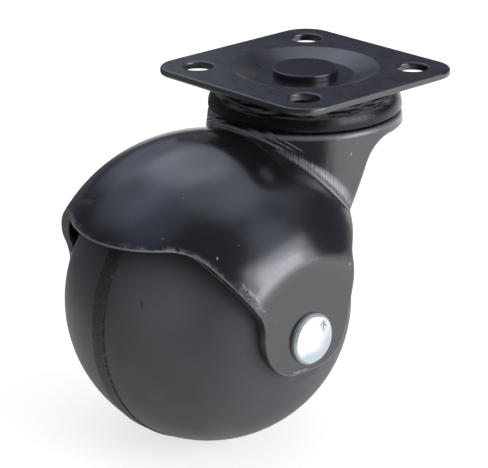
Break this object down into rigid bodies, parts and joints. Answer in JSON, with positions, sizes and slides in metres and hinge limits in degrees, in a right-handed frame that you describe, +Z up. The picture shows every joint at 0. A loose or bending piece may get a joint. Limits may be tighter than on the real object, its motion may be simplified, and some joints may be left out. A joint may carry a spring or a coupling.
{
  "type": "ball castor",
  "caption": "Swivelling ball castor: a moulded ball under a deep-drawn hood, with a square screw plate on top.",
  "frame": {"origin": "centre of the screw plate's top face, on the swivel axis", "axes": "+Z up, out of the plate's top face and along the swivel axis; the axle lies along Y, and the ball trails behind the swivel towards -X"},
  "size_m": [0.0678, 0.0534, 0.062],
  "materials": {
    "black_enamel": "gloss",
    "dark_steel": "mottled semi-gloss",
    "plain_steel": "satin",
    "bearing_steel": "polished",
    "bright_zinc": "bright",
    "moulded_ball": "matte"
  },
  "bodies": {
    "plate": {"top_plate": "black_enamel", "kingpin": "black_enamel", "upper_race_cup": "dark_steel", "lower_race_cup": "plain_steel"},
    "upper_row": {"upper_ball_01": "bearing_steel", "upper_ball_02": "bearing_steel", "upper_ball_03": "bearing_steel", "upper_ball_04": "bearing_steel", "upper_ball_05": "bearing_steel", "upper_ball_06": "bearing_steel", "upper_ball_07": "bearing_steel", "upper_ball_08": "bearing_steel", "upper_ball_09": "bearing_steel", "upper_ball_10": "bearing_steel", "upper_ball_11": "bearing_steel", "upper_ball_12": "bearing_steel", "upper_ball_13": "bearing_steel", "upper_ball_14": "bearing_steel", "upper_ball_15": "bearing_steel", "upper_ball_16": "bearing_steel", "upper_ball_17": "bearing_steel", "upper_ball_18": "bearing_steel", "upper_ball_19": "bearing_steel", "upper_ball_20": "bearing_steel"},
    "lower_row": {"lower_ball_01": "bearing_steel", "lower_ball_02": "bearing_steel", "lower_ball_03": "bearing_steel", "lower_ball_04": "bearing_steel", "lower_ball_05": "bearing_steel", "lower_ball_06": "bearing_steel", "lower_ball_07": "bearing_steel", "lower_ball_08": "bearing_steel", "lower_ball_09": "bearing_steel", "lower_ball_10": "bearing_steel", "lower_ball_11": "bearing_steel", "lower_ball_12": "bearing_steel"},
    "fork": {"fork_hood": "black_enamel", "axle_rivet": "bright_zinc", "axle_sleeve": "plain_steel"},
    "wheel": {"ball_wheel": "moulded_ball"}
  },
  "joints": [
    {"name": "swivel", "type": "hinge", "parent": "plate", "child": "fork", "pos_m": [0, 0, 0], "axis": [0, 0, 1], "continuous": true},
    {"name": "upper_row_turn", "type": "hinge", "parent": "plate", "child": "upper_row", "pos_m": [0, 0, 0], "axis": [0, 0, 1], "continuous": true},
    {"name": "lower_row_turn", "type": "hinge", "parent": "plate", "child": "lower_row", "pos_m": [0, 0, 0], "axis": [0, 0, 1], "continuous": true},
    {"name": "wheel_spin", "type": "hinge", "parent": "fork", "child": "wheel", "pos_m": [-0.0233, 0, -0.037], "axis": [0, 1, 0], "continuous": true}
  ],
  "couplings": [
    {"joint": "upper_row_turn", "follows": "swivel", "ratio": 0.5},
    {"joint": "lower_row_turn", "follows": "swivel", "ratio": 0.5}
  ]
}
